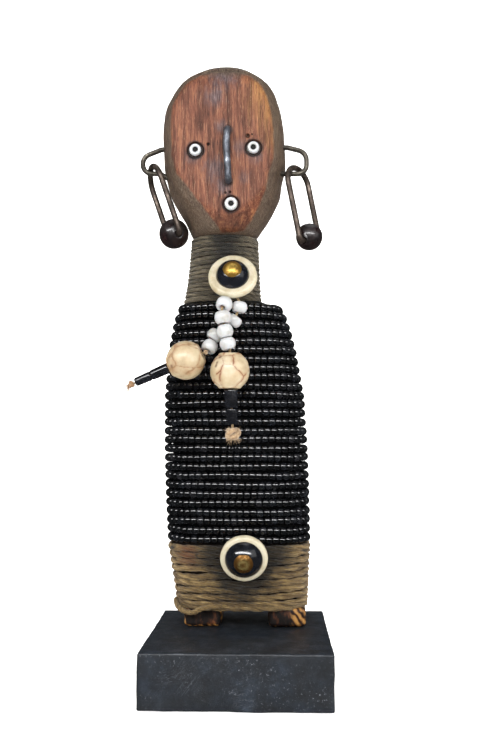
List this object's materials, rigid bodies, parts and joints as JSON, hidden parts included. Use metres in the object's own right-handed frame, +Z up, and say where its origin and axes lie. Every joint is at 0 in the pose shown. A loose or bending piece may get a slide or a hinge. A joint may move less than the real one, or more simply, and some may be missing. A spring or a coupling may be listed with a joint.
{
  "type": "beaded doll",
  "caption": "Carved wooden doll wound in seed beads and twine on a square block, with wire hoop earrings that swing and a two-strand bead necklace that lifts and swings.",
  "frame": {"origin": "middle of the block's underside", "axes": "+Z up, the face looks along -Y, +X is to the right of someone who faces the doll"},
  "size_m": [0.089, 0.08, 0.2853],
  "materials": {
    "block_paint": "worn black paint",
    "carved_wood": "hand-carved, dry",
    "dowel_wood": "plain",
    "twine": "matte, stained",
    "seed_glass": "glossy",
    "disc_cream": "satin",
    "dome_black": "glossy",
    "tack_brass": "tarnished",
    "wire_iron": "dark patina",
    "ball_glass": "glossy",
    "white_bead": "satin",
    "large_bead": "polished, veined",
    "tube_black": "glossy",
    "string": "fibrous"
  },
  "bodies": {
    "figure": {"base_block": "block_paint", "foot_dowels": "dowel_wood", "carved_figure": "carved_wood", "hem_twine": "twine", "neck_twine": "twine", "bead_rows_low": "seed_glass", "bead_rows_mid": "seed_glass", "bead_rows_high": "seed_glass", "collar_disc": "disc_cream", "collar_dome": "dome_black", "collar_tack": "tack_brass", "hem_disc": "disc_cream", "hem_dome": "dome_black", "hem_tack": "tack_brass", "nose_wire": "wire_iron", "eye_bead_left": "white_bead", "eye_bead_right": "white_bead", "eye_pin_left": "wire_iron", "eye_pin_right": "wire_iron", "mouth_bead": "white_bead", "mouth_pin": "wire_iron", "ear_loop_left": "wire_iron", "ear_loop_right": "wire_iron"},
    "earring_left": {"hoop_left": "wire_iron"},
    "earring_ball_left": {"hoop_ball_left": "ball_glass"},
    "earring_right": {"hoop_right": "wire_iron"},
    "earring_ball_right": {"hoop_ball_right": "ball_glass"},
    "necklace": {"string_front": "string", "bead_front_1": "white_bead", "bead_front_2": "white_bead", "bead_front_3": "white_bead", "bead_front_4": "white_bead", "string_back": "string", "bead_back_1": "white_bead", "bead_back_2": "white_bead", "bead_back_3": "white_bead", "bead_back_4": "white_bead", "knot_small": "string"},
    "tassel_left": {"tail_left": "string", "knot_left": "string"},
    "large_bead_left": {"big_bead_left": "large_bead"},
    "tube_bead_left_inner": {"tube_left_inner": "tube_black"},
    "tube_bead_left_outer": {"tube_left_outer": "tube_black"},
    "tassel_right": {"tail_right": "string", "knot_right": "string"},
    "large_bead_right": {"big_bead_right": "large_bead"},
    "tube_bead_right_upper": {"tube_right_upper": "tube_black"},
    "tube_bead_right_lower": {"tube_right_lower": "tube_black"}
  },
  "joints": [
    {"name": "earring_left_swing", "type": "hinge", "parent": "figure", "child": "earring_left", "pos_m": [-0.0416, 0.0085, 0.2318], "axis": [1, 0, 0], "range_deg": [-40, 0]},
    {"name": "earring_ball_left_spin", "type": "hinge", "parent": "earring_left", "child": "earring_ball_left", "pos_m": [-0.03156, 0.0085, 0.20263], "axis": [-0.4442, 0.8713, 0.2088], "continuous": true},
    {"name": "earring_right_swing", "type": "hinge", "parent": "figure", "child": "earring_right", "pos_m": [0.0262, 0.0085, 0.231], "axis": [1, 0, 0], "range_deg": [-45, 45]},
    {"name": "earring_ball_right_spin", "type": "hinge", "parent": "earring_right", "child": "earring_ball_right", "pos_m": [0.03209, 0.0085, 0.20072], "axis": [0.5026, 0.7405, 0.4461], "continuous": true},
    {"name": "necklace_lift", "type": "hinge", "parent": "figure", "child": "necklace", "pos_m": [-0.0032, -0.0055, 0.1711], "axis": [-1, 0, 0], "range_deg": [0, 35]},
    {"name": "tassel_left_swing", "type": "hinge", "parent": "necklace", "child": "tassel_left", "pos_m": [-0.0148, -0.009, 0.1446], "axis": [0, 0, 1], "range_deg": [0, 25]},
    {"name": "tassel_right_swing", "type": "hinge", "parent": "necklace", "child": "tassel_right", "pos_m": [-0.004, -0.0098, 0.1447], "axis": [0, 1, 0], "range_deg": [-18, 12]},
    {"name": "large_bead_left_spin", "type": "hinge", "parent": "tassel_left", "child": "large_bead_left", "pos_m": [-0.0237, -0.0088, 0.1411], "axis": [-0.9163, 0.0841, -0.3915], "continuous": true},
    {"name": "tube_left_inner_spin", "type": "hinge", "parent": "tassel_left", "child": "tube_bead_left_inner", "pos_m": [-0.03525, -0.00774, 0.13617], "axis": [-0.9163, 0.0841, -0.3915], "continuous": true},
    {"name": "tube_left_outer_spin", "type": "hinge", "parent": "tassel_left", "child": "tube_bead_left_outer", "pos_m": [-0.04285, -0.00704, 0.13292], "axis": [-0.9163, 0.0841, -0.3915], "continuous": true},
    {"name": "large_bead_right_spin", "type": "hinge", "parent": "tassel_right", "child": "large_bead_right", "pos_m": [-0.004, -0.0098, 0.1362], "axis": [0, 0, 1], "continuous": true},
    {"name": "tube_right_upper_spin", "type": "hinge", "parent": "tassel_right", "child": "tube_bead_right_upper", "pos_m": [-0.00344, -0.00952, 0.12387], "axis": [0.0457, 0.0229, -0.9987], "continuous": true},
    {"name": "tube_right_lower_spin", "type": "hinge", "parent": "tassel_right", "child": "tube_bead_right_lower", "pos_m": [-0.00308, -0.00934, 0.11608], "axis": [0.0457, 0.0229, -0.9987], "continuous": true}
  ]
}
